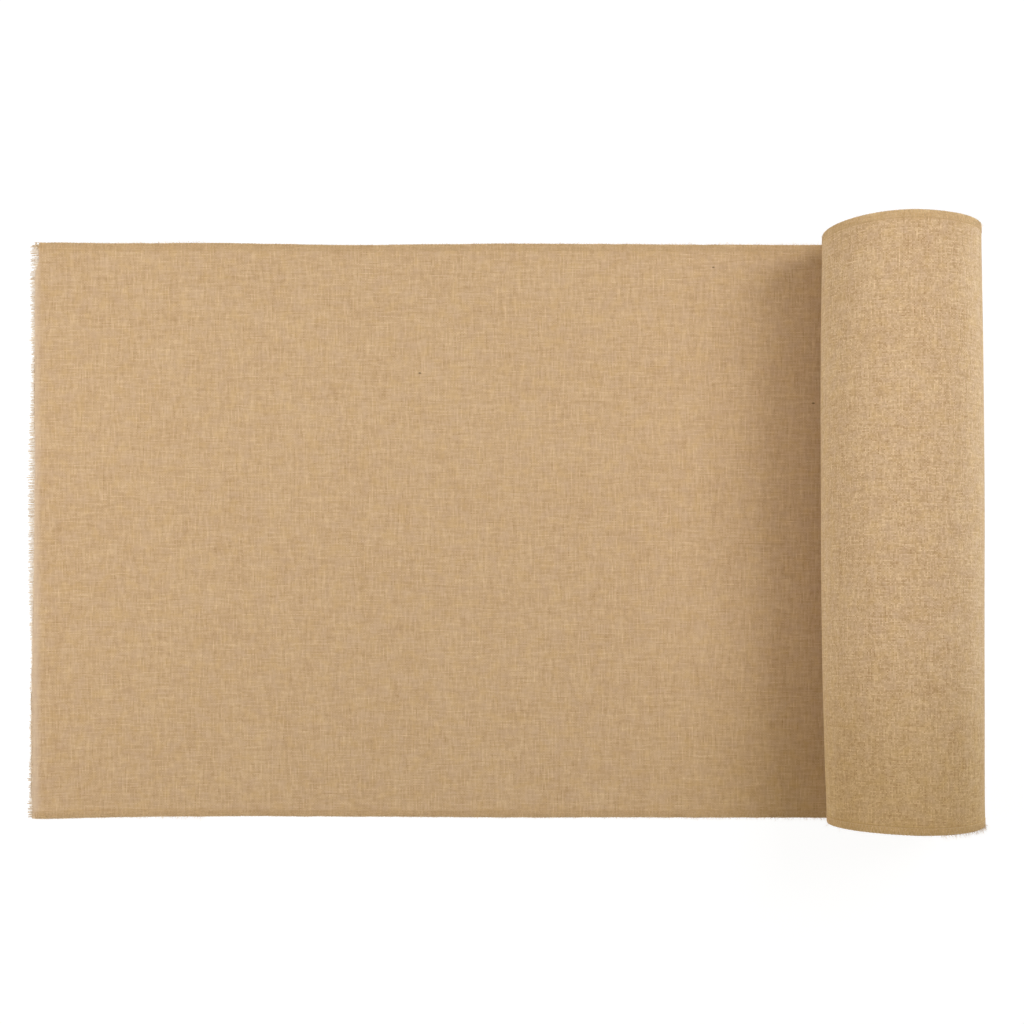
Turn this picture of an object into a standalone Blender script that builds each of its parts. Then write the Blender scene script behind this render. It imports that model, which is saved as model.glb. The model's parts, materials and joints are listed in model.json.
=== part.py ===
"""A burlap table runner, laid out flat at its free end and still wound on its core at the other.

Frame: +X runs along the runner from the free end towards the roll, +Y across its width, +Z up.
The origin is the centre of the object's footprint, on the surface it lies on. Units are metres.

The runner is one long strip of cloth. It is split where it bends: the free end folds back over
the laid cloth, the laid cloth stays put, the payout cloth gets longer or shorter as the roll
travels, and the rest is wound in a spiral on a cardboard core. Both long edges are overlocked.
"""

import math

import bpy

# ---------------------------------------------------------------- driving dimensions
RUNNER_WIDTH = 0.3556  # 14 in, over both overlocked edges
RUNNER_LENGTH = 9.144  # 10 yd, laid and wound together
LAID_LENGTH = 0.527  # cut end to the line where the roll touches the cloth
FREE_END = 0.120  # stretch that folds back
PAYOUT_LENGTH = 0.200  # stretch in front of the roll that its travel uses up or adds to

ROLL_RADIUS = 0.0475
CORE_OUTER = 0.0145
CORE_BORE = 0.0127  # a 1 in bore
WOUND_INNER = 0.0149
CLOTH = 0.0008  # burlap, as laid
EDGE = 0.0011  # cloth with thread over and under it
EDGE_WIDTH = 0.005
FRINGE = 0.0032  # longest loose warp end
GAP = 0.0003  # clearance between touching pieces
UNDER_ROLL = 0.012  # cloth that reaches past the contact line, under the roll

FOLD_HEIGHT = 0.0018  # axis of the fold, above both thicknesses of the edge
FRINGE_YARNS = 60

# ---------------------------------------------------------------- derived positions
# X is first measured from the contact line, then moved so that the footprint is centred.
CENTRE_X = 0.5 * (ROLL_RADIUS - LAID_LENGTH - FRINGE)
CONTACT_X = -CENTRE_X
CUT_X = CONTACT_X - LAID_LENGTH
FOLD_X = CUT_X + FREE_END
PAYOUT_X = CONTACT_X - PAYOUT_LENGTH
AXIS_Z = CLOTH + GAP + ROLL_RADIUS + (EDGE - CLOTH)
PANEL_WIDTH = RUNNER_WIDTH - 2 * (EDGE_WIDTH + GAP)

BURLAP = (0.617, 0.434, 0.258, 1.0)
THREAD = (0.66, 0.50, 0.31, 1.0)
FRAYED = (0.66, 0.49, 0.30, 1.0)
BOARD = (0.33, 0.22, 0.13, 1.0)


# ---------------------------------------------------------------- scene and materials
for old in list(bpy.data.objects):
    bpy.data.objects.remove(old, do_unlink=True)

parts = bpy.data.collections.new("table_runner")
bpy.context.scene.collection.children.link(parts)


def material(name, colour, roughness):
    m = bpy.data.materials.new(name)
    m.use_nodes = True
    shader = m.node_tree.nodes["Principled BSDF"]
    shader.inputs["Base Color"].default_value = colour
    shader.inputs["Roughness"].default_value = roughness
    shader.inputs["Metallic"].default_value = 0.0
    m.diffuse_color = colour
    return m


def adopt(obj, name, mat, parent=None):
    """Names a new object, moves it to the runner's collection, and gives it its material."""
    obj.name = name
    if obj.data is not None:
        obj.data.name = name
        obj.data.materials.clear()
        obj.data.materials.append(mat)
    for c in list(obj.users_collection):
        c.objects.unlink(obj)
    parts.objects.link(obj)
    if parent is not None:
        obj.parent = parent
        obj.matrix_parent_inverse = parent.matrix_world.inverted()
    return obj


def pivot(name, location, parent=None):
    """An empty on a joint's axis."""
    e = bpy.data.objects.new(name, None)
    e.empty_display_size = 0.02
    e.location = location
    parts.objects.link(e)
    bpy.context.view_layer.update()
    if parent is not None:
        e.parent = parent
        e.matrix_parent_inverse = parent.matrix_world.inverted()
        bpy.context.view_layer.update()
    return e


# ---------------------------------------------------------------- shapes
def slab(name, x0, x1, y0, y1, thick, mat, parent=None, round_edges=0.0):
    """A flat strip of cloth or edge that lies on the surface, from x0 to x1 and y0 to y1."""
    bpy.ops.mesh.primitive_cube_add(
        size=1.0, location=((x0 + x1) / 2, (y0 + y1) / 2, thick / 2)
    )
    obj = bpy.context.object
    obj.scale = (x1 - x0, y1 - y0, thick)
    bpy.ops.object.transform_apply(location=False, rotation=False, scale=True)
    adopt(obj, name, mat, parent)
    if round_edges:
        soft = obj.modifiers.new("soft_edges", "BEVEL")
        soft.width = round_edges
        soft.segments = 2
        soft.limit_method = "ANGLE"
    return obj


def ring(name, outer, inner, y0, y1, mat, parent, segments):
    """A turned tube on the roll's axis, from y0 to y1."""
    # The profile runs down its outer side. Its own Z becomes the world's Y.
    profile = [(outer, y1), (outer, y0), (inner, y0), (inner, y1)]
    mesh = bpy.data.meshes.new(name)
    mesh.from_pydata(
        [(x, 0.0, z) for x, z in profile], [(0, 1), (1, 2), (2, 3), (3, 0)], []
    )
    obj = bpy.data.objects.new(name, mesh)
    obj.location = (CONTACT_X, 0.0, AXIS_Z)
    obj.rotation_euler = (-math.pi / 2, 0.0, 0.0)
    bpy.context.scene.collection.objects.link(obj)
    bpy.context.view_layer.update()
    adopt(obj, name, mat, parent)
    turn = obj.modifiers.new("turned", "SCREW")
    turn.axis = "Z"
    turn.angle = 2 * math.pi
    turn.steps = turn.render_steps = segments
    turn.use_merge_vertices = True
    turn.merge_threshold = 0.00005
    turn.use_smooth_shade = True
    return obj


def comb(name, mat, parent):
    """The frayed end: a narrow band of warp that breaks into loose yarn ends of uneven length."""
    root = CUT_X - GAP
    spine = root - 0.0005
    half = RUNNER_WIDTH / 2 - 0.0015
    pitch = 2 * half / FRINGE_YARNS
    outline = [(root, half), (spine, half)]
    for i in range(FRINGE_YARNS):
        top = half - i * pitch
        uneven = 0.5 + 0.5 * math.sin(2.39996 * i + 0.7) * math.cos(0.61 * i)
        reach = CUT_X - FRINGE * (0.55 + 0.4 * uneven)
        if i == FRINGE_YARNS // 3:
            reach = CUT_X - FRINGE
        outline += [
            (spine, top - 0.20 * pitch),
            (reach, top - 0.30 * pitch),
            (reach, top - 0.70 * pitch),
            (spine, top - 0.80 * pitch),
        ]
    outline += [(spine, -half), (root, -half)]
    curve = bpy.data.curves.new(name, "CURVE")
    curve.dimensions = "2D"
    curve.fill_mode = "BOTH"
    curve.extrude = CLOTH / 2
    spline = curve.splines.new("POLY")
    spline.points.add(len(outline) - 1)
    for point, (x, y) in zip(spline.points, outline):
        point.co = (x - FOLD_X, y, 0.0, 1.0)
    spline.use_cyclic_u = True
    obj = bpy.data.objects.new(name, curve)
    obj.location = (FOLD_X, 0.0, CLOTH / 2)
    bpy.context.scene.collection.objects.link(obj)
    bpy.context.view_layer.update()
    return adopt(obj, name, mat, parent)


# ---------------------------------------------------------------- the object
burlap = material("burlap", BURLAP, 0.92)
thread = material("overlock_thread", THREAD, 0.85)
frayed = material("loose_yarn", FRAYED, 0.9)
board = material("core_board", BOARD, 0.8)

fold_pivot = pivot("fold_pivot", (FOLD_X, 0.0, FOLD_HEIGHT))
payout_slide = pivot("payout_slide", (CONTACT_X, 0.0, 0.0))
roll_pivot = pivot("roll_pivot", (CONTACT_X, 0.0, AXIS_Z), payout_slide)

HALF = RUNNER_WIDTH / 2
EDGES = (
    ("front", -HALF, -HALF + EDGE_WIDTH),
    ("back", HALF - EDGE_WIDTH, HALF),
)

# The laid cloth between the fold line and the payout stretch.
slab("laid_cloth", FOLD_X + GAP, PAYOUT_X - GAP, -PANEL_WIDTH / 2, PANEL_WIDTH / 2, CLOTH, burlap)
for side, y0, y1 in EDGES:
    slab(f"laid_overlock_{side}", FOLD_X + GAP, PAYOUT_X - GAP, y0, y1, EDGE, thread, None, 0.0003)

# The free end, which folds back over the laid cloth about the fold line.
slab("end_cloth", CUT_X, FOLD_X - GAP, -PANEL_WIDTH / 2, PANEL_WIDTH / 2, CLOTH, burlap, fold_pivot)
for side, y0, y1 in EDGES:
    slab(f"end_overlock_{side}", CUT_X, FOLD_X - GAP, y0, y1, EDGE, thread, fold_pivot, 0.0003)
comb("end_fringe", frayed, fold_pivot)

# The payout stretch, which reaches a little way under the roll.
slab("payout_cloth", PAYOUT_X, CONTACT_X + UNDER_ROLL, -PANEL_WIDTH / 2, PANEL_WIDTH / 2, CLOTH, burlap, payout_slide)
for side, y0, y1 in EDGES:
    slab(f"payout_overlock_{side}", PAYOUT_X, CONTACT_X + UNDER_ROLL, y0, y1, EDGE, thread, payout_slide, 0.0003)

# The roll: wound cloth between its two stacks of overlocked edges, on the core.
ring("wound_cloth", ROLL_RADIUS, WOUND_INNER, -PANEL_WIDTH / 2, PANEL_WIDTH / 2, burlap, roll_pivot, 64)
for side, y0, y1 in EDGES:
    ring(f"wound_overlock_{side}", ROLL_RADIUS, WOUND_INNER, y0, y1, thread, roll_pivot, 64)
ring("core_tube", CORE_OUTER, CORE_BORE, -HALF, HALF, board, roll_pivot, 48)
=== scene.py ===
"""Looks of the burlap table runner: cloth, overlocked edges, frayed end, roll, core, light and camera.

Every length is in metres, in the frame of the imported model. u is measured along the cloth from its
cut end, through the laid part and on into the roll, and v across it from its middle.
"""

import math

import bpy
import json
import numpy as np
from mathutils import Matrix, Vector


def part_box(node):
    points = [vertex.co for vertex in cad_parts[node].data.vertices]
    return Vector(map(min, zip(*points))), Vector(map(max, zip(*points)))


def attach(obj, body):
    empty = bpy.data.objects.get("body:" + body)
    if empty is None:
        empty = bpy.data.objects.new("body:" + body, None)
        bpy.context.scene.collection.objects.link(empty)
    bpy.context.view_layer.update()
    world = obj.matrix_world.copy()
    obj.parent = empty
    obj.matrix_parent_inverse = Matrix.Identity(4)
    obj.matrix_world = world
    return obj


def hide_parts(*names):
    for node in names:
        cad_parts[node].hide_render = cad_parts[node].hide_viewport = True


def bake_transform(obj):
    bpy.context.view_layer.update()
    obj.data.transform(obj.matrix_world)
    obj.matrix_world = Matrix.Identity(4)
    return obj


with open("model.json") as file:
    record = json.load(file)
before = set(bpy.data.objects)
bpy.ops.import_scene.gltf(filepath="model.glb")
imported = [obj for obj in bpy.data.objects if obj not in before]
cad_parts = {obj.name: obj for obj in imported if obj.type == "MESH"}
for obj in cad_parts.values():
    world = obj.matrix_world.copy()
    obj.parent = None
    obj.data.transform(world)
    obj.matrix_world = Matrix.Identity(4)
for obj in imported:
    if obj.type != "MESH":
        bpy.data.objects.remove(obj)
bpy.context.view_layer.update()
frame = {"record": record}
scene = bpy.context.scene

# ------------------------------------------------------------------ sizes, read from the model
(rx0, _, rz0), (rx1, _, rz1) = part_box("wound_cloth")
CONTACT_X, AXIS_Z = (rx0 + rx1) / 2, (rz0 + rz1) / 2
ROLL_R = (rz1 - rz0) / 2
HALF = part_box("laid_overlock_back")[1][1]
CUT_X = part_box("end_cloth")[0][0]
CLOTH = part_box("laid_cloth")[1][2]
CORE_R = (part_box("core_tube")[1][2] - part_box("core_tube")[0][2]) / 2
FOLD_X = next(j for j in frame["record"]["behaviour"]["joints"] if j["name"] == "end_fold")["pos_m"][0]
BORE_R = 0.0127
LAID = CONTACT_X - CUT_X
LENGTH = 9.144
WOUND = LENGTH - LAID
WIDTH = 2 * HALF
LAYER = math.pi * (ROLL_R**2 - CORE_R**2) / WOUND
EDGE_BAND = 0.0037  # the needle line's distance from the cloth's edge
STITCH = 0.0022
PITCH_U, PITCH_V = 0.00085, 0.00078  # spacing of the weft and of the warp

rng = np.random.default_rng(14)


# ------------------------------------------------------------------ meshes
def add_mesh(name, points, quads, cloth=None, extra_faces=(), smooth=True):
    mesh = bpy.data.meshes.new(name)
    points = np.asarray(points, np.float64).reshape(-1, 3)
    quads = np.asarray(quads, np.int64).reshape(-1, 4)
    n_extra = sum(len(f) for f in extra_faces)
    mesh.vertices.add(len(points))
    mesh.vertices.foreach_set("co", points.astype(np.float32).ravel())
    mesh.loops.add(len(quads) * 4 + n_extra)
    mesh.polygons.add(len(quads) + len(extra_faces))
    loops = np.concatenate([quads.ravel()] + [np.asarray(f, np.int64) for f in extra_faces])
    sizes = np.concatenate([np.full(len(quads), 4), np.array([len(f) for f in extra_faces], np.int64)])
    starts = np.concatenate([[0], np.cumsum(sizes)[:-1]])
    mesh.loops.foreach_set("vertex_index", loops.astype(np.int32))
    mesh.polygons.foreach_set("loop_start", starts.astype(np.int32))
    mesh.update(calc_edges=True)
    mesh.validate()
    if cloth is not None:
        a = mesh.attributes.new("cloth", "FLOAT_VECTOR", "POINT")
        a.data.foreach_set("vector", np.asarray(cloth, np.float32).ravel())
    if smooth:
        mesh.shade_smooth()
        mesh.set_sharp_from_angle(angle=math.radians(50))
    obj = bpy.data.objects.new(name, mesh)
    scene.collection.objects.link(obj)
    return obj


def strip(name, upper, lower, cloth_upper, cloth_lower):
    """A closed thin sheet from its two faces, each (sections, columns, 3). upper is the side that faces out."""
    n, k = upper.shape[:2]
    ring = np.concatenate([upper, lower[:, ::-1]], axis=1)
    uv = np.concatenate([cloth_upper, cloth_lower[:, ::-1]], axis=1)
    m = 2 * k
    i, j = np.meshgrid(np.arange(n - 1), np.arange(m), indexing="ij")
    a, b = i * m + j, i * m + (j + 1) % m
    sides = np.stack([a, a + m, b + m, b], axis=-1).reshape(-1, 4)
    c = np.arange(k - 1)
    near = np.stack([c, c + 1, m - 2 - c, m - 1 - c], axis=-1)
    far = near[:, ::-1] + (n - 1) * m
    return add_mesh(name, ring, np.concatenate([sides, near, far]), uv.reshape(-1, 3))


def tubes(name, paths, radius, sides=5, cloth=None, up=(0.0, 0.0, 1.0)):
    """Closed tubes along paths, each (points, 3). radius is one number, or (paths, points). cloth is (paths, points, 3)."""
    points, quads, caps, uvs, base = [], [], [], [], 0
    groups = {}
    for i, p in enumerate(paths):
        groups.setdefault(len(p), []).append(i)
    ang = np.arange(sides) * 2 * math.pi / sides
    for n, members in groups.items():
        p = np.stack([paths[i] for i in members])
        r = np.full(p.shape[:2], radius) if np.isscalar(radius) else np.stack([radius[i] for i in members])
        t = np.gradient(p, axis=1)
        t /= np.maximum(np.linalg.norm(t, axis=2, keepdims=True), 1e-12)
        side = np.cross(t, np.array(up))
        bad = np.linalg.norm(side, axis=2) < 1e-3
        side[bad] = np.cross(t[bad], np.array([1.0, 0.0, 0.0]))
        side /= np.maximum(np.linalg.norm(side, axis=2, keepdims=True), 1e-12)
        lift = np.cross(side, t)
        rings = (
            p[:, :, None]
            + r[:, :, None, None]
            * (np.cos(ang)[None, None, :, None] * side[:, :, None] + np.sin(ang)[None, None, :, None] * lift[:, :, None])
        )
        count = len(members)
        points.append(rings.reshape(-1, 3))
        if cloth is not None:
            c = np.stack([cloth[i] for i in members])
            uvs.append(np.repeat(c[:, :, None], sides, axis=2).reshape(-1, 3))
        g, i, j = np.meshgrid(np.arange(count), np.arange(n - 1), np.arange(sides), indexing="ij")
        start = base + g * n * sides + i * sides
        a, b = start + j, start + (j + 1) % sides
        quads.append(np.stack([a, b, b + sides, a + sides], axis=-1).reshape(-1, 4))
        for k in range(count):
            s = base + k * n * sides
            caps.append(list(range(s, s + sides))[::-1])
            e = s + (n - 1) * sides
            caps.append(list(range(e, e + sides)))
        base += count * n * sides
    return add_mesh(
        name,
        np.concatenate(points),
        np.concatenate(quads),
        np.concatenate(uvs) if cloth is not None else None,
        caps,
    )


def smoothstep(x):
    x = np.clip(x, 0.0, 1.0)
    return x * x * (3 - 2 * x)


def wander(x, scale, seed, octaves=2):
    """Smooth noise along one coordinate, between about -1 and 1."""
    local = np.random.default_rng(seed)
    total, size = np.zeros_like(np.asarray(x, float)), 0.0
    for o in range(octaves):
        table = local.uniform(-1, 1, 4096)
        s = np.asarray(x, float) / scale * 2**o
        i = np.floor(s).astype(int)
        f = smoothstep(s - i)
        total += (table[i % 4096] * (1 - f) + table[(i + 1) % 4096] * f) * 0.55**o
        size += 0.55**o
    return total / size


def relief(x, y):
    """How far the laid cloth's underside stands off the table: it is nowhere quite flat."""
    h = 0.00012 * (1 + np.sin(41 * x + 9 * y + 0.6) * np.cos(23 * y - 7 * x + 1.1))
    h = h + 0.00010 * (1 + np.sin(17 * x - 31 * y + 2.2))
    h = h + 0.00008 * (1 + np.sin(88 * x + 27 * y) * np.sin(61 * y - 30 * x + 0.4))
    edge = smoothstep((np.abs(y) / HALF - 0.86) / 0.14)
    h = h + edge * 0.00018 * (1 + np.sin(64 * x + 3 * np.sign(y) + 0.9) * np.cos(29 * x + 1.7))
    end = smoothstep((CUT_X + 0.030 - x) / 0.030)
    return h + end * (0.00035 + 0.0006 * np.abs(y / HALF) ** 3 * (1.2 + np.sign(y) * 0.5))


# The laid cloth's long edges wander by about a millimetre. Distances from the cut end, then how far out.
BACK_EDGE = ((0.0, 0.4), (0.01, 0.5), (0.07, 0.1), (0.115, 0.4), (0.155, -0.4), (0.19, -1.1), (0.235, -0.7),
             (0.29, -0.1), (0.34, -0.2), (0.39, -0.6), (0.43, -0.7), (0.465, -1.0), (0.53, -1.0))
FRONT_EDGE = ((0.0, 0.5), (0.012, 0.5), (0.04, -0.5), (0.075, -0.9), (0.13, -1.2), (0.165, -1.1), (0.21, -0.9),
              (0.27, -0.6), (0.31, -0.4), (0.36, -0.5), (0.42, -0.35), (0.46, -0.3), (0.53, 0.0))


def edge_y(x, side):
    """The cloth's edge at x, on the back (+1) or the front (-1)."""
    table = np.array(BACK_EDGE if side > 0 else FRONT_EDGE)
    s = np.asarray(x, float) - CUT_X
    fine = np.linspace(0, 0.56, 225)
    k = np.interp(fine, table[:, 0], table[:, 1])
    k = np.convolve(np.pad(k, 5, mode="edge"), np.ones(11) / 11, mode="valid")
    out = np.interp(s, fine, k) + 0.16 * wander(s, 0.008, 31 if side > 0 else 32)
    return side * (HALF + 0.001 * out)


def notch(v):
    """How far in from the yarn ends the weave begins. It has frayed furthest at the back corner."""
    ragged = 0.0006 + 0.00035 * wander(np.asarray(v, float) + 1.0, 0.0045, 17)
    skewed = -0.0020 * smoothstep((0.06 - v) / 0.16)  # the cut isn't quite square
    return ragged + skewed + 0.0026 * smoothstep((v - 0.158) / 0.009) + 0.0006 * smoothstep((v - 0.1755) / 0.002)


def across(x, v):
    """Place across the table of the point v of the cloth at x, both arrays of one shape."""
    w = v / HALF
    return v + 0.5 * ((1 + w) * (edge_y(x, 1) - HALF) + (1 - w) * (edge_y(x, -1) + HALF))


# ------------------------------------------------------------------ node helpers
class S:
    """A shader socket that takes arithmetic."""

    def __init__(self, tree, socket):
        self.tree, self.socket = tree, socket

    def op(self, kind, *others, clamp=False):
        node = self.tree.nodes.new("ShaderNodeMath")
        node.operation = kind
        node.use_clamp = clamp
        for i, o in enumerate((self,) + others):
            if isinstance(o, S):
                self.tree.links.new(o.socket, node.inputs[i])
            else:
                node.inputs[i].default_value = float(o)
        return S(self.tree, node.outputs[0])

    def __add__(self, o):
        return self.op("ADD", o)

    __radd__ = __add__

    def __sub__(self, o):
        return self.op("SUBTRACT", o)

    def __rsub__(self, o):
        return (self * -1.0) + o

    def __mul__(self, o):
        return self.op("MULTIPLY", o)

    __rmul__ = __mul__

    def __truediv__(self, o):
        return self.op("DIVIDE", o)

    def floor(self):
        return self.op("FLOOR")

    def fract(self):
        return self.op("FRACT")

    def sin(self):
        return self.op("SINE")

    def abs(self):
        return self.op("ABSOLUTE")

    def pow(self, e):
        return self.op("POWER", e)

    def max(self, o):
        return self.op("MAXIMUM", o)

    def min(self, o):
        return self.op("MINIMUM", o)

    def clamp(self):
        return self.op("ADD", 0.0, clamp=True)

    def mix(self, a, b):
        """a where self is 0, b where it is 1."""
        return (a * (1.0 - self) if isinstance(a, S) else (1.0 - self) * a) + self * b

    def ramp(self, lo, hi):
        node = self.tree.nodes.new("ShaderNodeMapRange")
        node.interpolation_type = "SMOOTHSTEP"
        self.tree.links.new(self.socket, node.inputs["Value"])
        node.inputs["From Min"].default_value = lo
        node.inputs["From Max"].default_value = hi
        return S(self.tree, node.outputs[0])


def vector(tree, x, y, z=0.0):
    node = tree.nodes.new("ShaderNodeCombineXYZ")
    for i, o in enumerate((x, y, z)):
        if isinstance(o, S):
            tree.links.new(o.socket, node.inputs[i])
        else:
            node.inputs[i].default_value = float(o)
    return node.outputs[0]


def noise(tree, place, scale=1.0, detail=2.0, roughness=0.55):
    node = tree.nodes.new("ShaderNodeTexNoise")
    node.noise_dimensions = "3D"
    node.inputs["Scale"].default_value = scale
    node.inputs["Detail"].default_value = detail
    node.inputs["Roughness"].default_value = roughness
    tree.links.new(place, node.inputs["Vector"])
    return S(tree, node.outputs["Fac"])


def colour_mix(tree, factor, a, b, mode="MIX"):
    node = tree.nodes.new("ShaderNodeMix")
    node.data_type = "RGBA"
    node.blend_type = mode
    node.clamp_factor = True
    for socket, value in ((node.inputs[0], factor), (node.inputs[6], a), (node.inputs[7], b)):
        if isinstance(value, S):
            tree.links.new(value.socket, socket)
        elif isinstance(value, bpy.types.NodeSocket):
            tree.links.new(value, socket)
        elif isinstance(value, tuple):
            socket.default_value = (*value, 1.0)
        else:
            socket.default_value = value
    return node.outputs[2]


def new_material(name, roughness=0.9, sheen=0.0, specular=0.25):
    mat = bpy.data.materials.new(name)
    mat.use_nodes = True
    shader = mat.node_tree.nodes["Principled BSDF"]
    shader.inputs["Roughness"].default_value = roughness
    shader.inputs["Specular IOR Level"].default_value = specular
    shader.inputs["Sheen Weight"].default_value = sheen
    shader.inputs["Sheen Roughness"].default_value = 0.6
    return mat, mat.node_tree, shader


def bump(tree, shader, height, strength=1.0):
    """height is in metres."""
    node = tree.nodes.new("ShaderNodeBump")
    node.inputs["Strength"].default_value = strength
    node.inputs["Distance"].default_value = 1.0
    tree.links.new(height.socket, node.inputs["Height"])
    tree.links.new(node.outputs[0], shader.inputs["Normal"])
    return node


# ------------------------------------------------------------------ materials
STRAW = (0.908, 0.727, 0.488)
DEEP = (0.553, 0.342, 0.175)
# The next brown serves both the painted shade in the gaps between the yarns and the needle line.
SHADE_AND_SEAM_BROWN = (0.460, 0.264, 0.116)
PINK = (0.725, 0.540, 0.390)
YELLOW = (0.750, 0.540, 0.270)
# The gaps term sets how strong the painted shade is in the gaps between the yarns.
TONE, CELL, GRAIN, GAP_SHADE_STRENGTH, CHECK = 1.15, 0.16, 0.12, 0.40, 0.08  # how strongly each part of the weave shows


def burlap(name, moving, contrast=1.0, edging=0.2, speckle=0.0, front_shade=0.5):
    """Plain-woven jute. moving reads the place on the cloth that each point carries. Otherwise the place on
    the table is read, so that cloth that is paid out keeps its weave."""
    mat, tree, shader = new_material(name, 0.95, 0.0, 0.10)
    shader.inputs["Diffuse Roughness"].default_value = 1.0
    split = tree.nodes.new("ShaderNodeSeparateXYZ")
    if moving:
        source = tree.nodes.new("ShaderNodeAttribute")
        source.attribute_name = "cloth"
        tree.links.new(source.outputs["Vector"], split.inputs[0])
        u, v = S(tree, split.outputs[0]), S(tree, split.outputs[1])
    else:
        source = tree.nodes.new("ShaderNodeTexCoord")
        tree.links.new(source.outputs["Object"], split.inputs[0])
        u, v = S(tree, split.outputs[0]) - CUT_X, S(tree, split.outputs[1])
    v = v + 1.0
    place = vector(tree, u, v)
    # Yarns don't run quite straight.
    drift = noise(tree, place, 38.0, 2.0) - 0.5
    drift2 = noise(tree, vector(tree, v, u, 3.0), 31.0, 2.0) - 0.5
    a = u / PITCH_U + drift * 1.7
    b = v / PITCH_V + drift2 * 1.9
    i, j = a.floor(), b.floor()
    fa, fb = a.fract(), b.fract()
    ri = (fa * math.pi).sin()  # roundness of the weft yarn that lies here
    rj = (fb * math.pi).sin()  # and of the warp yarn
    even_i = (i * 0.5).fract() * 4.0 - 1.0  # -1 or 1
    even_j = (j * 0.5).fract() * 4.0 - 1.0
    over = ri * rj * even_i * even_j  # above 0 where the warp is on top
    # Each yarn's own tone and thickness along its length.
    warp = noise(tree, vector(tree, u * 104.0, j * 3.171, 1.7), 1.0, 2.0, 0.62)
    weft = noise(tree, vector(tree, i * 3.713, v * 112.0, 8.3), 1.0, 2.0, 0.62)
    warp_whole = noise(tree, vector(tree, u * 14.0, j * 5.37, 11.7), 1.0, 1.0)
    weft_whole = noise(tree, vector(tree, i * 4.91, v * 16.0, 18.3), 1.0, 1.0)
    warp_h = rj + over * 0.55 + (warp - 0.5) * 0.9
    weft_h = ri - over * 0.55 + (weft - 0.5) * 0.9
    on_top = ((warp_h - weft_h) * 2.5 + 0.5).clamp()
    weft_tone = weft * 0.88 + weft_whole * 0.18 - 0.03
    warp_tone = warp * 0.74 + warp_whole * 0.16 + 0.05
    tone = on_top.mix(weft_tone, warp_tone) * 0.7 + (weft_tone + warp_tone) * 0.45 - 0.3
    height = warp_h.max(weft_h)
    # How deep each point lies between the yarns; it sets the painted shade below.
    gap_shade = 1.0 - height.ramp(0.10, 0.95)
    # Every crossing differs a little from its neighbours, and so does each short stretch of fibre.
    cell = tree.nodes.new("ShaderNodeTexWhiteNoise")
    cell.noise_dimensions = "3D"
    tree.links.new(vector(tree, i, j, on_top.ramp(0.4, 0.6).op("ROUND")), cell.inputs["Vector"])
    cell = S(tree, cell.outputs["Value"])
    grain = noise(tree, vector(tree, u, v, 5.0), 430.0, 3.0, 0.6)
    shade = (tone - 0.5) * TONE + (cell - 0.5) * (CELL + speckle) + (grain - 0.5) * GRAIN + (on_top - 0.5) * CHECK
    shade = (shade * contrast + 0.5).clamp()
    base = colour_mix(tree, shade, DEEP, STRAW)
    # Painted shade: the gaps between the yarns are darkened towards brown, standing in for the shade that falls
    # there.
    base = colour_mix(tree, gap_shade * (GAP_SHADE_STRENGTH * contrast), base, SHADE_AND_SEAM_BROWN)
    # Blotches of pinker and yellower fibre.
    patch = noise(tree, vector(tree, u, v, 4.0), 125.0, 3.0, 0.6)
    base = colour_mix(tree, (patch.ramp(0.50, 0.66)) * 0.32, base, PINK)
    base = colour_mix(tree, (1.0 - patch.ramp(0.34, 0.48)) * 0.32, base, YELLOW)
    broad = noise(tree, vector(tree, u, v, 7.0), 9.0, 3.0, 0.6)
    base = colour_mix(tree, (broad - 0.5).abs() * 0.25, base, STRAW)
    # The cut end has bleached and opened up, and the overlocked edges are yellower than the cloth.
    raw = 1.0 - u.ramp(0.0, 0.0055)
    base = colour_mix(tree, raw * 0.45, base, (0.86, 0.74, 0.64))
    rim = (v - 1.0).abs()
    base = colour_mix(tree, rim.ramp(HALF - 0.0060, HALF - 0.0035) * edging, base, (0.76, 0.54, 0.26))
    seam = ((rim - (HALF - 0.0042)).abs()).ramp(0.0002, 0.0008)
    base = colour_mix(tree, (1.0 - seam) * (edging * 0.55), base, SHADE_AND_SEAM_BROWN)
    # Painted shade: the jute is darker and browner along the front edge, more so the nearer it is to the roll,
    # standing in for light that falls off towards the front.
    front_shade_mask = (1.0 - (v - 1.0).ramp(-0.175, -0.050)) * u.ramp(0.34, 0.46) * front_shade
    base = colour_mix(tree, front_shade_mask, base, (0.880, 0.840, 0.705), "MULTIPLY")
    # Flecks of bark.
    cells = tree.nodes.new("ShaderNodeTexVoronoi")
    cells.inputs["Scale"].default_value = 55.0
    tree.links.new(vector(tree, u * 0.6, v, 2.0), cells.inputs["Vector"])
    lone = S(tree, cells.outputs["Distance"])
    pick = tree.nodes.new("ShaderNodeSeparateXYZ")
    tree.links.new(cells.outputs["Color"], pick.inputs[0])
    fleck = (1.0 - lone.ramp(0.018, 0.040)) * S(tree, pick.outputs[0]).ramp(0.80, 0.84)
    base = colour_mix(tree, fleck * 0.75, base, (0.17, 0.09, 0.04))
    tree.links.new(base, shader.inputs["Base Color"])
    fibre = noise(tree, vector(tree, u, v, 1.0), 5200.0, 2.0)
    bump(tree, shader, height * 0.00013 + fibre * 0.00003 + tone * 0.00008, 0.8)
    return mat


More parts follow.
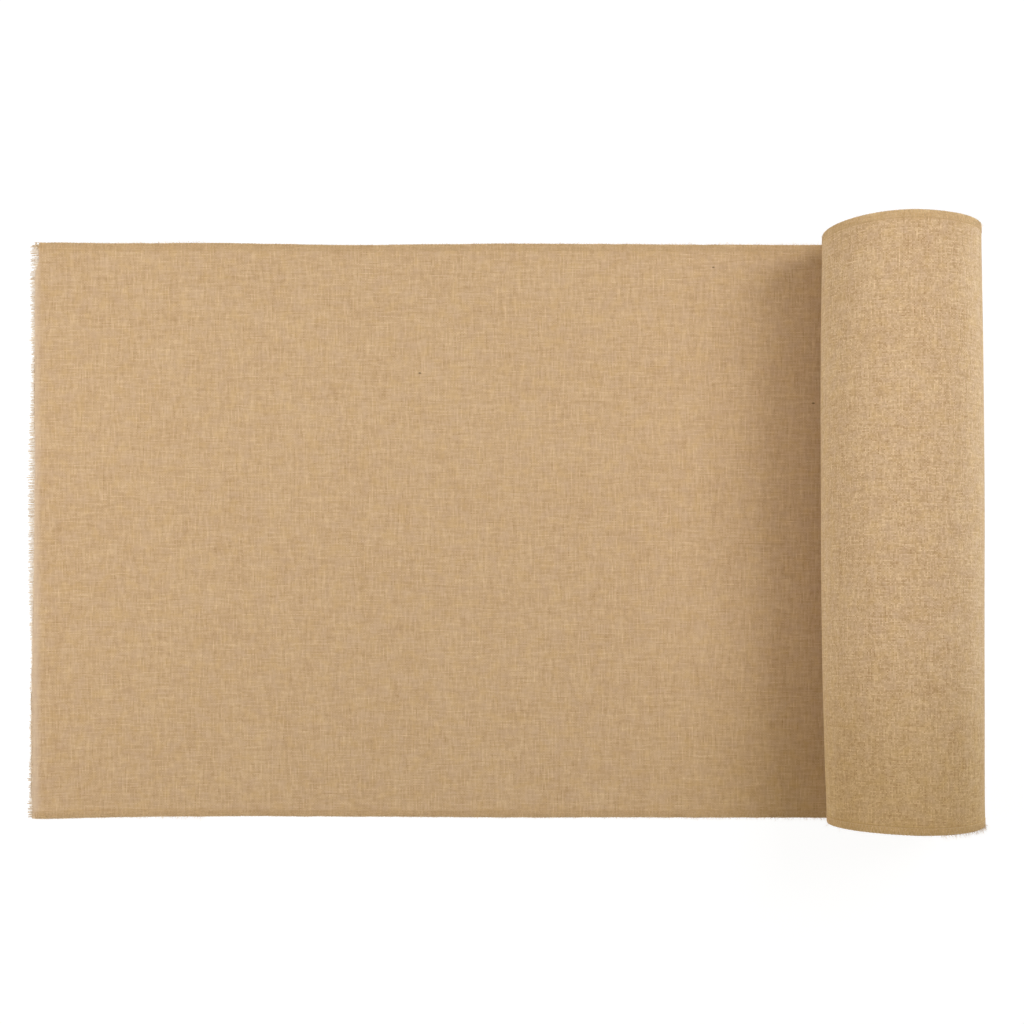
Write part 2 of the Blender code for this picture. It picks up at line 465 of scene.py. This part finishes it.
def thread_material(name, colour, shade):
    mat, tree, shader = new_material(name, 0.85, 0.15, 0.25)
    coord = tree.nodes.new("ShaderNodeTexCoord")
    n = noise(tree, coord.outputs["Object"], 900.0, 3.0)
    m = noise(tree, coord.outputs["Object"], 120.0, 2.0)
    base = colour_mix(tree, n.ramp(0.35, 0.7), shade, colour)
    base = colour_mix(tree, m.ramp(0.45, 0.75) * 0.5, base, STRAW)
    tree.links.new(base, shader.inputs["Base Color"])
    bump(tree, shader, n * 0.00004, 0.6)
    return mat


flat_burlap = burlap("burlap_laid", False)
free_burlap = burlap("burlap_free_end", True)
# The last number sets how strong the painted shade along the roll's front end is.
wound_burlap = burlap("burlap_wound", True, 1.12, 0.45, 0.36, 0.9)
thread = thread_material("overlock_thread", (0.80, 0.60, 0.37), (0.62, 0.44, 0.24))
yarn = thread_material("loose_yarn", (0.86, 0.73, 0.59), (0.58, 0.42, 0.27))


def core_material():
    mat, tree, shader = new_material("core_board", 0.85, 0.0, 0.3)
    source = tree.nodes.new("ShaderNodeAttribute")
    source.attribute_name = "cloth"
    split = tree.nodes.new("ShaderNodeSeparateXYZ")
    tree.links.new(source.outputs["Vector"], split.inputs[0])
    turn, along, depth = (S(tree, split.outputs[k]) for k in range(3))
    # Plies wound at an angle leave a seam, and show as rings on the cut end.
    seam = ((turn + along / 0.060).fract() - 0.5).abs()
    line = 1.0 - seam.ramp(0.0, 0.018)
    plies = (depth * (math.pi * 2 * 5)).sin() * 0.5 + 0.5
    fibres = noise(tree, vector(tree, turn * 9.0, along * 160.0, depth), 1.0, 4.0)
    base = colour_mix(tree, fibres.ramp(0.3, 0.7), (0.235, 0.155, 0.092), (0.365, 0.262, 0.170))
    base = colour_mix(tree, line * 0.7, base, (0.12, 0.075, 0.042))
    base = colour_mix(tree, plies * 0.3, base, (0.45, 0.34, 0.23))
    tree.links.new(base, shader.inputs["Base Color"])
    bump(tree, shader, fibres * 0.00006 - line * 0.00012, 0.8)
    return mat


core_board = core_material()


def dress(obj, mat):
    obj.data.materials.append(mat)
    return obj


# ------------------------------------------------------------------ the laid cloth
SEAM_X = FOLD_X + 0.0085  # the two pieces of the laid cloth meet here, on cloth that nothing bends
COLUMNS = np.unique(
    np.concatenate([np.linspace(-1, 1, 61), np.array([-0.995, -0.985, -0.97, 0.97, 0.985, 0.995])])
) * HALF


def laid_sheet(name, xs):
    x, v = np.meshgrid(xs, COLUMNS, indexing="ij")
    x = x + notch(v) * (1 - smoothstep((x - CUT_X) / 0.015))
    y = across(x, v)
    low = relief(x, y)
    rim = smoothstep((np.abs(v) / HALF - 0.994) / 0.006)  # the two faces close towards the rim
    cut = smoothstep((CUT_X + 0.0007 - x) / 0.0007)
    close = 0.00022 * np.maximum(rim, cut)
    upper = np.stack([x, y, low + CLOTH - close], axis=-1)
    lower = np.stack([x, y, low + 0.00004 + close], axis=-1)
    cloth = np.stack([x - CUT_X, v, np.zeros_like(x)], axis=-1)
    return strip(name, upper, lower, cloth, cloth)


free_xs = np.concatenate([
    CUT_X + np.array([0.0, 0.0003, 0.0007]),
    np.arange(CUT_X + 0.004, FOLD_X - 0.016, 0.004),
    np.linspace(FOLD_X - 0.0145, FOLD_X + 0.0015, 34),
    [FOLD_X + 0.005, SEAM_X],
])
laid_xs = np.concatenate([np.linspace(SEAM_X, CONTACT_X - 0.008, 100), np.linspace(CONTACT_X - 0.006, CONTACT_X + 0.004, 6)])

free_cloth = dress(laid_sheet("free_cloth", free_xs), free_burlap)
laid_cloth = dress(laid_sheet("runner_cloth", laid_xs), flat_burlap)


# ------------------------------------------------------------------ the overlocked edges
def overlock_paths(start, stop, seed):
    """The threads of one overlocked edge, as (u, out, lift): out is the distance in from the cloth's edge, and
    lift is 1 on the upper face, -1 on the lower one and between them where a thread turns round the edge."""
    local = np.random.default_rng(seed)
    count = max(2, int(round((stop - start) / STITCH)))
    pitch = (stop - start) / count
    u0 = start + pitch * np.arange(count)
    jitter = local.normal(0, 0.10, (count, 4))
    paths = []
    # Upper looper: from the needle line out to the edge and back, on top. Lower looper: the same underneath.
    for face in (1, -1):
        steps = np.array([
            (0.00, 1.00, 0.95), (0.10, 0.86, 1.0), (0.22, 0.60, 1.05), (0.33, 0.30, 1.05), (0.42, 0.06, 0.85),
            (0.50, -0.05, 0.15), (0.58, 0.05, 0.80), (0.68, 0.30, 1.05), (0.79, 0.62, 1.05), (0.90, 0.88, 1.0),
        ])
        if face < 0:
            steps = steps[::2]
        u = u0[:, None] + pitch * (steps[None, :, 0] + 0.25 * jitter[:, :1] * np.sin(math.pi * steps[None, :, 0]))
        out = EDGE_BAND * (steps[None, :, 1] + 0.35 * jitter[:, 1:2] * (steps[None, :, 1] < 0.2))
        lift = face * np.broadcast_to(steps[None, :, 2], u.shape)
        paths.append(np.stack([u, out, lift], axis=-1).reshape(-1, 3))
    # The purl along the edge, where the two loopers cross.
    t = np.array([0.0, 0.25, 0.5, 0.75])
    u = u0[:, None] + pitch * t
    out = EDGE_BAND * (-0.035 + 0.02 * np.sin(2 * math.pi * t) + 0.05 * jitter[:, 2:3])
    lift = 0.35 * np.cos(2 * math.pi * t) * np.ones((count, 1))
    paths.append(np.stack([u, out, lift], axis=-1).reshape(-1, 3))
    # Needle thread: one short stitch after another, each dipping into the cloth at its ends.
    needle = []
    for face in (1,):
        t = np.array([0.06, 0.16, 0.5, 0.84, 0.94])
        z = np.array([0.55, 1.0, 1.12, 1.0, 0.55])
        u = u0[:, None] + pitch * t
        out = EDGE_BAND * (1.03 + 0.04 * jitter[:, 3:4]) * np.ones((1, 5))
        needle.append(np.stack([u, out, face * np.broadcast_to(z, u.shape)], axis=-1))
    return paths, np.concatenate(needle)


THREAD_R = 0.00014


def laid_overlock(name, x0, x1, side, seed):
    long, short = overlock_paths(x0, x1, seed)

    def put(p):
        x = np.clip(p[..., 0], x0 + 0.00002, x1 - 0.00002)
        edge = edge_y(x, side)
        y = edge - side * p[..., 1]
        mid = relief(x, y) + CLOTH / 2
        reach = CLOTH / 2 + THREAD_R * 0.75
        return np.stack([x, y, np.maximum(mid + reach * p[..., 2], THREAD_R * 0.9)], axis=-1)

    paths = [put(p) for p in long] + [put(p) for p in short]
    return dress(tubes(name, paths, THREAD_R, 5), thread)


edges = {}
for side, word in ((1, "back"), (-1, "front")):
    edges["free", word] = laid_overlock(f"free_edge_{word}", CUT_X + 0.0004, SEAM_X, side, 60 + side)
    edges["laid", word] = laid_overlock(f"runner_edge_{word}", SEAM_X, CONTACT_X + 0.003, side, 70 + side)


# ------------------------------------------------------------------ the frayed end
# How far the loose yarn ends reach, in millimetres, at places across the cloth.
FRAY = np.array([(-0.178, 2.2), (-0.160, 2.3), (-0.135, 1.4), (-0.105, 1.2), (-0.075, 0.8), (-0.042, 2.0), (-0.012, 2.3),
                 (0.019, 2.3), (0.050, 2.1), (0.081, 0.7), (0.112, 0.3), (0.143, 0.7), (0.162, 1.0), (0.178, 0.7)])


def fringe():
    count = int(WIDTH / PITCH_V) - 2
    paths, radii = [], []
    gone = wander(np.arange(count), 5.0, 5)
    for k in range(count):
        v = -HALF + 0.0009 + (WIDTH - 0.0018) * (k + 0.5) / count
        long = 0.001 * float(np.interp(v, FRAY[:, 0], FRAY[:, 1])) + 0.0012 + 0.00035 * float(gone[k])
        long += rng.uniform(-0.0008, 0.0007)
        if rng.random() < 0.05:
            long += rng.uniform(0.0002, 0.0009)
        long = max(float(np.clip(long, 0.0002, 0.0050)) + float(notch(v)), 0.0006)
        if rng.random() < 0.05:
            long *= 0.5
        n = 6
        t = np.linspace(0, 1, n)
        x = CUT_X + float(notch(v)) + 0.0006 - t * (long + 0.0006)
        y0 = float(across(np.array(CUT_X), np.array(v)))
        lean = rng.normal(0, 0.045)
        curl = rng.normal(0, 0.055)
        y = y0 + (lean * t + curl * t * t) * long
        z = float(relief(np.array(CUT_X), np.array(y0))) * (1 - 0.6 * t) + CLOTH * 0.5 + rng.uniform(-0.0002, 0.0002) * t
        z = np.maximum(z, 0.00025)
        paths.append(np.stack([x, y, z], axis=-1))
        radii.append(0.00040 * (1 - 0.45 * t**2) * rng.uniform(0.75, 1.05))
    # Two weft yarns that have begun to work loose.
    for k, (off, v0, v1) in enumerate(((0.0003, -0.165, -0.10), (0.0004, 0.06, 0.110))):
        v = np.linspace(v0, v1, 160)
        x = CUT_X - off + 0.00035 * wander(v, 0.011, 90 + k) + notch(v)
        z = CLOTH * 0.55 + 0.0002 * np.sin(v / PITCH_V * math.pi) + relief(np.full_like(v, CUT_X), v)
        paths.append(np.stack([x, across(np.full_like(v, CUT_X), v), z], axis=-1))
        radii.append(np.full(160, 0.00028))
    return dress(tubes("frayed_ends", paths, radii, 5), yarn)


frayed = fringe()


# ------------------------------------------------------------------ the roll
# Its ends are a little tighter than its middle, and it is not quite square.
def shrink(v):
    return 0.0014 * np.abs(v / HALF) ** 2.2


def skew(v):
    w = v / HALF
    return -0.0001 - 0.0011 * w + 0.0010 * w * w


def spiral():
    """u along the wound cloth from the contact line inwards, its angle, and its middle radius."""
    step = 0.0031
    n = int(WOUND / step)
    s = np.linspace(0, WOUND, n)
    outer = ROLL_R + 0.0003 - 0.5 * LAYER
    inner = math.sqrt(max(outer**2 - LAYER * WOUND / math.pi, (CORE_R + 0.0004) ** 2))
    r = np.sqrt(np.maximum(outer**2 - (outer**2 - inner**2) * s / WOUND, 0))
    angle = np.concatenate([[0], np.cumsum(np.diff(s) / (0.5 * (r[1:] + r[:-1])))])
    return s, angle - math.pi / 2, r


def roll_surface(angle, r, v, shift):
    """Places on the roll: angle, radius, and v across the cloth, arrays of one shape."""
    lump = 0.00022 * np.sin(2 * angle + 11 * v + 0.4) + 0.00016 * np.sin(3 * angle - 23 * v + 1.9)
    lump = lump + 0.00012 * np.sin(5 * angle + 41 * v) * np.cos(17 * v)
    rr = (r - shrink(v) * r / ROLL_R) + lump * r / ROLL_R
    share = r / ROLL_R
    x = CONTACT_X + skew(v) * share + rr * np.cos(angle)
    z = AXIS_Z + rr * np.sin(angle)
    s = np.clip(1 - np.sin(angle), 0, 1.05)
    left = np.cos(angle) < 0
    back = np.where(left, 0.0054 * s / (1 + 0.3 * s), 0.0019 * np.sqrt(s))
    front = np.where(left, 0.0019 * np.sqrt(s), 0.0030 * s)
    under = smoothstep((np.sin(angle) + 1.0) / 0.9)  # the ends are square again where the roll meets the cloth
    w = v / HALF
    tuck = under * (front * smoothstep((-w - 0.7) / 0.3) - back * smoothstep((w - 0.7) / 0.3))
    return np.stack([x, v + shift + tuck * share, z], axis=-1)


ROLL_COLUMNS = np.array([-1, -0.9985, -0.990, -0.972, -0.93, -0.80, -0.62, -0.42, -0.2, 0, 0.2, 0.42, 0.62, 0.80,
                         0.93, 0.972, 0.990, 0.9985, 1]) * HALF
s_, angle_, r_ = spiral()
TURN = 2 * math.pi * ROLL_R


def telescope(s):
    """How far each layer's edge has slipped along the roll. The outermost turn has not."""
    settle = smoothstep(s / (1.3 * TURN))
    return settle * (0.00055 * wander(s, 0.55, 201) + 0.00038 * wander(s, 0.085, 202))


def wound_sheet():
    s, k = np.meshgrid(s_, np.arange(len(ROLL_COLUMNS)), indexing="ij")
    angle, r, v = angle_[s_.searchsorted(s)], r_[s_.searchsorted(s)], ROLL_COLUMNS[k]
    band = smoothstep((np.abs(v) / HALF - 0.968) / 0.006)
    rim = np.abs(v) > 0.999 * HALF
    thick = 0.00058 + 0.00014 * band
    thick = np.where(rim, 0.00022, thick)
    tail = 0.12 + 0.88 * smoothstep(s / 0.020)
    shift = telescope(s)
    inner = r - 0.5 * LAYER + 0.00004 + np.where(rim, 0.00022, 0.0)
    upper = roll_surface(angle, inner + thick * tail, v, shift)
    lower = roll_surface(angle, inner, v, shift)
    cloth = np.stack([s + LAID, v, band], axis=-1)
    # Going inwards the sections turn anticlockwise seen from the front, so the outer face comes second.
    return strip("wound_cloth_roll", upper[:, ::-1], lower[:, ::-1], cloth[:, ::-1], cloth[:, ::-1])


roll_cloth = dress(wound_sheet(), wound_burlap)


def roll_overlock(name, side, seed, turns):
    """The overlock threads of the roll's outer turns, which are the ones that can be seen."""
    long, short = overlock_paths(0.004, TURN * turns, seed)

    def put(p):
        s = np.clip(p[..., 0], 0, WOUND)
        angle, r = np.interp(s, s_, angle_), np.interp(s, s_, r_)
        v = side * (HALF - p[..., 1])
        half = 0.00035
        radius = r - 0.5 * LAYER + 0.00004 + half + np.clip(p[..., 2], -0.8, 1.2) * (half + THREAD_R * 0.55)
        return roll_surface(angle, radius, v, telescope(s))

    paths = [put(p) for p in long[:1] + long[2:]] + [put(p) for p in short]
    return dress(tubes(name, paths, THREAD_R * 0.92, 5, up=(0.0, 1.0, 0.02)), thread)


roll_edges = {
    word: roll_overlock(f"roll_edge_{word}", side, 80 + side, 0.985) for side, word in ((1, "back"), (-1, "front"))
}


# ------------------------------------------------------------------ the core
def core():
    n = 96
    wall = CORE_R - BORE_R
    lip = 0.0004
    profile = [
        (BORE_R, -HALF + lip), (BORE_R + lip, -HALF), (CORE_R - lip, -HALF), (CORE_R, -HALF + lip),
        (CORE_R, 0.0), (CORE_R, HALF - lip), (CORE_R - lip, HALF), (BORE_R + lip, HALF), (BORE_R, HALF - lip), (BORE_R, 0.0),
    ]
    p = np.array(profile)
    m = len(p)
    a = np.arange(n) * 2 * math.pi / n
    i, j = np.meshgrid(np.arange(n), np.arange(m), indexing="ij")
    r, y = p[j, 0], p[j, 1]
    pts = np.stack([CONTACT_X + r * np.cos(a[i]), y, AXIS_Z + r * np.sin(a[i])], axis=-1)
    attr = np.stack([i / n, y, (r - BORE_R) / wall], axis=-1)
    first, second = i * m + j, i * m + (j + 1) % m
    nxt = ((i + 1) % n) * m
    quads = np.stack([first, second, nxt + (j + 1) % m, nxt + j], axis=-1).reshape(-1, 4)
    return dress(add_mesh("cardboard_core", pts, quads, attr.reshape(-1, 3)), core_board)


core_piece = core()


# ------------------------------------------------------------------ stray fibres
def fuzz(name, roots, outward, length, radius, seed, mat):
    """Fine jute hairs: roots and outward are (n, 3)."""
    local = np.random.default_rng(seed)
    n = len(roots)
    long = length * local.uniform(0.35, 1.0, n) ** 1.5
    wild = local.normal(0, 0.45, (n, 3))
    direction = outward + wild
    direction /= np.linalg.norm(direction, axis=1, keepdims=True)
    bend = local.normal(0, 0.55, (n, 3))
    t = np.linspace(0, 1, 5)[None, :, None]
    p = roots[:, None] + long[:, None, None] * (direction[:, None] * t + bend[:, None] * t * t * 0.5)
    p[..., 2] = np.maximum(p[..., 2], radius * 1.5)
    r = radius * (1 - 0.6 * np.linspace(0, 1, 5))[None] * local.uniform(0.7, 1.2, (n, 1))
    return dress(tubes(name, list(p), list(r), 3), mat)


def edge_roots(x, side):
    y = edge_y(x, side)
    z = relief(x, y) + CLOTH * 0.5
    return np.stack([x, y, z], axis=-1)


hairs = {}
for word, x0, x1, seed in (("free", CUT_X, FOLD_X - 0.014, 301), ("runner", SEAM_X, CONTACT_X - 0.005, 302)):
    local = np.random.default_rng(seed)
    roots, out = [], []
    for side in (1, -1):
        x = local.uniform(x0, x1, int((x1 - x0) / 0.00038))
        roots.append(edge_roots(x, side))
        o = np.zeros((len(x), 3))
        o[:, 1], o[:, 2] = side, 0.2
        out.append(o)
    x = local.uniform(x0 + 0.001, x1, int((x1 - x0) / 0.00035))
    v = local.uniform(-HALF * 0.97, HALF * 0.97, len(x))
    y = across(x, v)
    roots.append(np.stack([x, y, relief(x, y) + CLOTH - 0.00005], axis=-1))
    angle = local.uniform(0, 2 * math.pi, len(x))
    out.append(np.stack([np.cos(angle), np.sin(angle), np.full(len(x), 0.45)], axis=-1))
    hairs[word] = fuzz(f"{word}_fibres", np.concatenate(roots), np.concatenate(out), 0.0024, 0.00005, seed, yarn)

local = np.random.default_rng(303)
n = 900
s = local.uniform(0.01, TURN * 0.98, n)
v = local.uniform(-HALF, HALF, n)
ends = local.random(n) < 0.4
v = np.where(ends, np.sign(v) * HALF * 0.999, v)
angle, r = np.interp(s, s_, angle_), np.interp(s, s_, r_)
roots = roll_surface(angle, r + 0.2 * LAYER, v, np.zeros(n))
out = np.stack([np.cos(angle), np.where(ends, np.sign(v) * 1.6, local.normal(0, 0.7, n)), np.sin(angle)], axis=-1)
# The front end has frayed most where the roll turns down on its right.
n = 420
s = local.uniform(TURN * 0.255, TURN * 0.46, n)
front = np.full(n, -HALF * 0.999)
more_angle, more_r = np.interp(s, s_, angle_), np.interp(s, s_, r_)
roots = np.concatenate([roots, roll_surface(more_angle, more_r + 0.1 * LAYER, front, np.zeros(n))])
out = np.concatenate([out, np.stack([np.cos(more_angle) * 0.6, np.full(n, -1.5), np.sin(more_angle) * 0.6], axis=-1)])
hairs["roll"] = fuzz("roll_fibres", roots, out, 0.0034, 0.00004, 304, yarn)

# ------------------------------------------------------------------ what moves with what
fold_start, fold_end = (FOLD_X, 0, 0), (FOLD_X - 0.012, 0, 0)
for piece in (free_cloth, edges["free", "back"], edges["free", "front"], hairs["free"]):
    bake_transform(piece)
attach(frayed, "free_end")
pay_start, pay_end = (SEAM_X + 0.004, 0, 0), (CONTACT_X - 0.004, 0, 0)
for piece in (laid_cloth, edges["laid", "back"], edges["laid", "front"], hairs["runner"]):
    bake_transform(piece)
for piece in (roll_cloth, roll_edges["back"], roll_edges["front"], hairs["roll"], core_piece):
    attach(piece, "roll")

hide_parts("end_cloth")
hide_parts("end_overlock_front")
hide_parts("end_overlock_back")
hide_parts("end_fringe")
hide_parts("laid_cloth", "payout_cloth")
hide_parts("laid_overlock_front", "payout_overlock_front")
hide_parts("laid_overlock_back", "payout_overlock_back")
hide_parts("wound_cloth")
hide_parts("wound_overlock_front")
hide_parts("wound_overlock_back")
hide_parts("core_tube")

SEAM_X - CUT_X
CONTACT_X + 0.004 - SEAM_X

# ------------------------------------------------------------------ floor, light and camera
floor_mesh = bpy.data.meshes.new("floor")
floor_mesh.from_pydata([(-60, -60, -0.0002), (60, -60, -0.0002), (60, 60, -0.0002), (-60, 60, -0.0002)], [], [(0, 1, 2, 3)])
floor = bpy.data.objects.new("floor", floor_mesh)
scene.collection.objects.link(floor)
floor_mat, floor_tree, floor_shader = new_material("floor", 0.9, 0.0, 0.0)
floor_shader.inputs["Base Color"].default_value = (0.14, 0.14, 0.14, 1.0)
floor_shader.inputs["Emission Color"].default_value = (1.0, 1.0, 1.0, 1.0)
floor_shader.inputs["Emission Strength"].default_value = 0.92
floor_mesh.materials.append(floor_mat)

world = bpy.data.worlds.new("studio")
scene.world = world
world.use_nodes = True
# A pale room: brighter low down, where the walls are, and most of all on the left.
sky = world.node_tree
where = sky.nodes.new("ShaderNodeTexCoord")
split = sky.nodes.new("ShaderNodeSeparateXYZ")
sky.links.new(where.outputs["Generated"], split.inputs[0])
wall = (1.0 - S(sky, split.outputs[2]).ramp(0.02, 0.12)) * (0.62 - S(sky, split.outputs[0]) * 0.38)
tint = colour_mix(sky, wall, (0.20, 0.17, 0.095), (0.64, 0.49, 0.17))
sky.links.new(tint, sky.nodes["Background"].inputs["Color"])
sky.nodes["Background"].inputs["Strength"].default_value = 1.0


def area(name, place, target, size, power, spread=180.0, colour=(0.97, 1.0, 1.05)):
    data = bpy.data.lights.new(name, "AREA")
    data.shape = "RECTANGLE"
    data.size, data.size_y = size
    data.energy = power
    data.color = colour
    obj = bpy.data.objects.new(name, data)
    scene.collection.objects.link(obj)
    obj.location = place
    aim = np.array(target) - np.array(place)
    obj.rotation_euler = Vector(aim).to_track_quat("-Z", "Y").to_euler()
    data.spread = math.radians(spread)
    obj.visible_camera = False
    return obj


area("left_strip", (-0.9, -0.02, 0.7), (0.1, 0.0, 0.0), (0.5, 0.5), 6.4, colour=(1.0, 1.015, 1.03))
area("right_box", (0.75, 0.32, 0.9), (0.1, 0.05, 0.0), (0.57, 0.57), 6.3, colour=(0.99, 1.03, 1.09))
area("long_overhead", (0.0, 0.13, 1.0), (0.0, 0.13, 0.0), (1.4, 0.3), 0.3, 50.0)

scene.cycles.pixel_filter_width = 1.0
scene.cycles.denoising_prefilter = "NONE"  # keeps the weave crisp
camera = bpy.data.cameras.new("camera")
camera.sensor_width = 36.0
camera.lens = 63.5
camera.shift_y = 0.1055
camera.clip_end = 200.0
eye = bpy.data.objects.new("camera", camera)
eye.location = (0.0103, -0.0553, 1.12)
eye.rotation_euler = (0.0, 0.0, 0.0)
scene.collection.objects.link(eye)
scene.camera = eye
scene.view_settings.view_transform = "Standard"
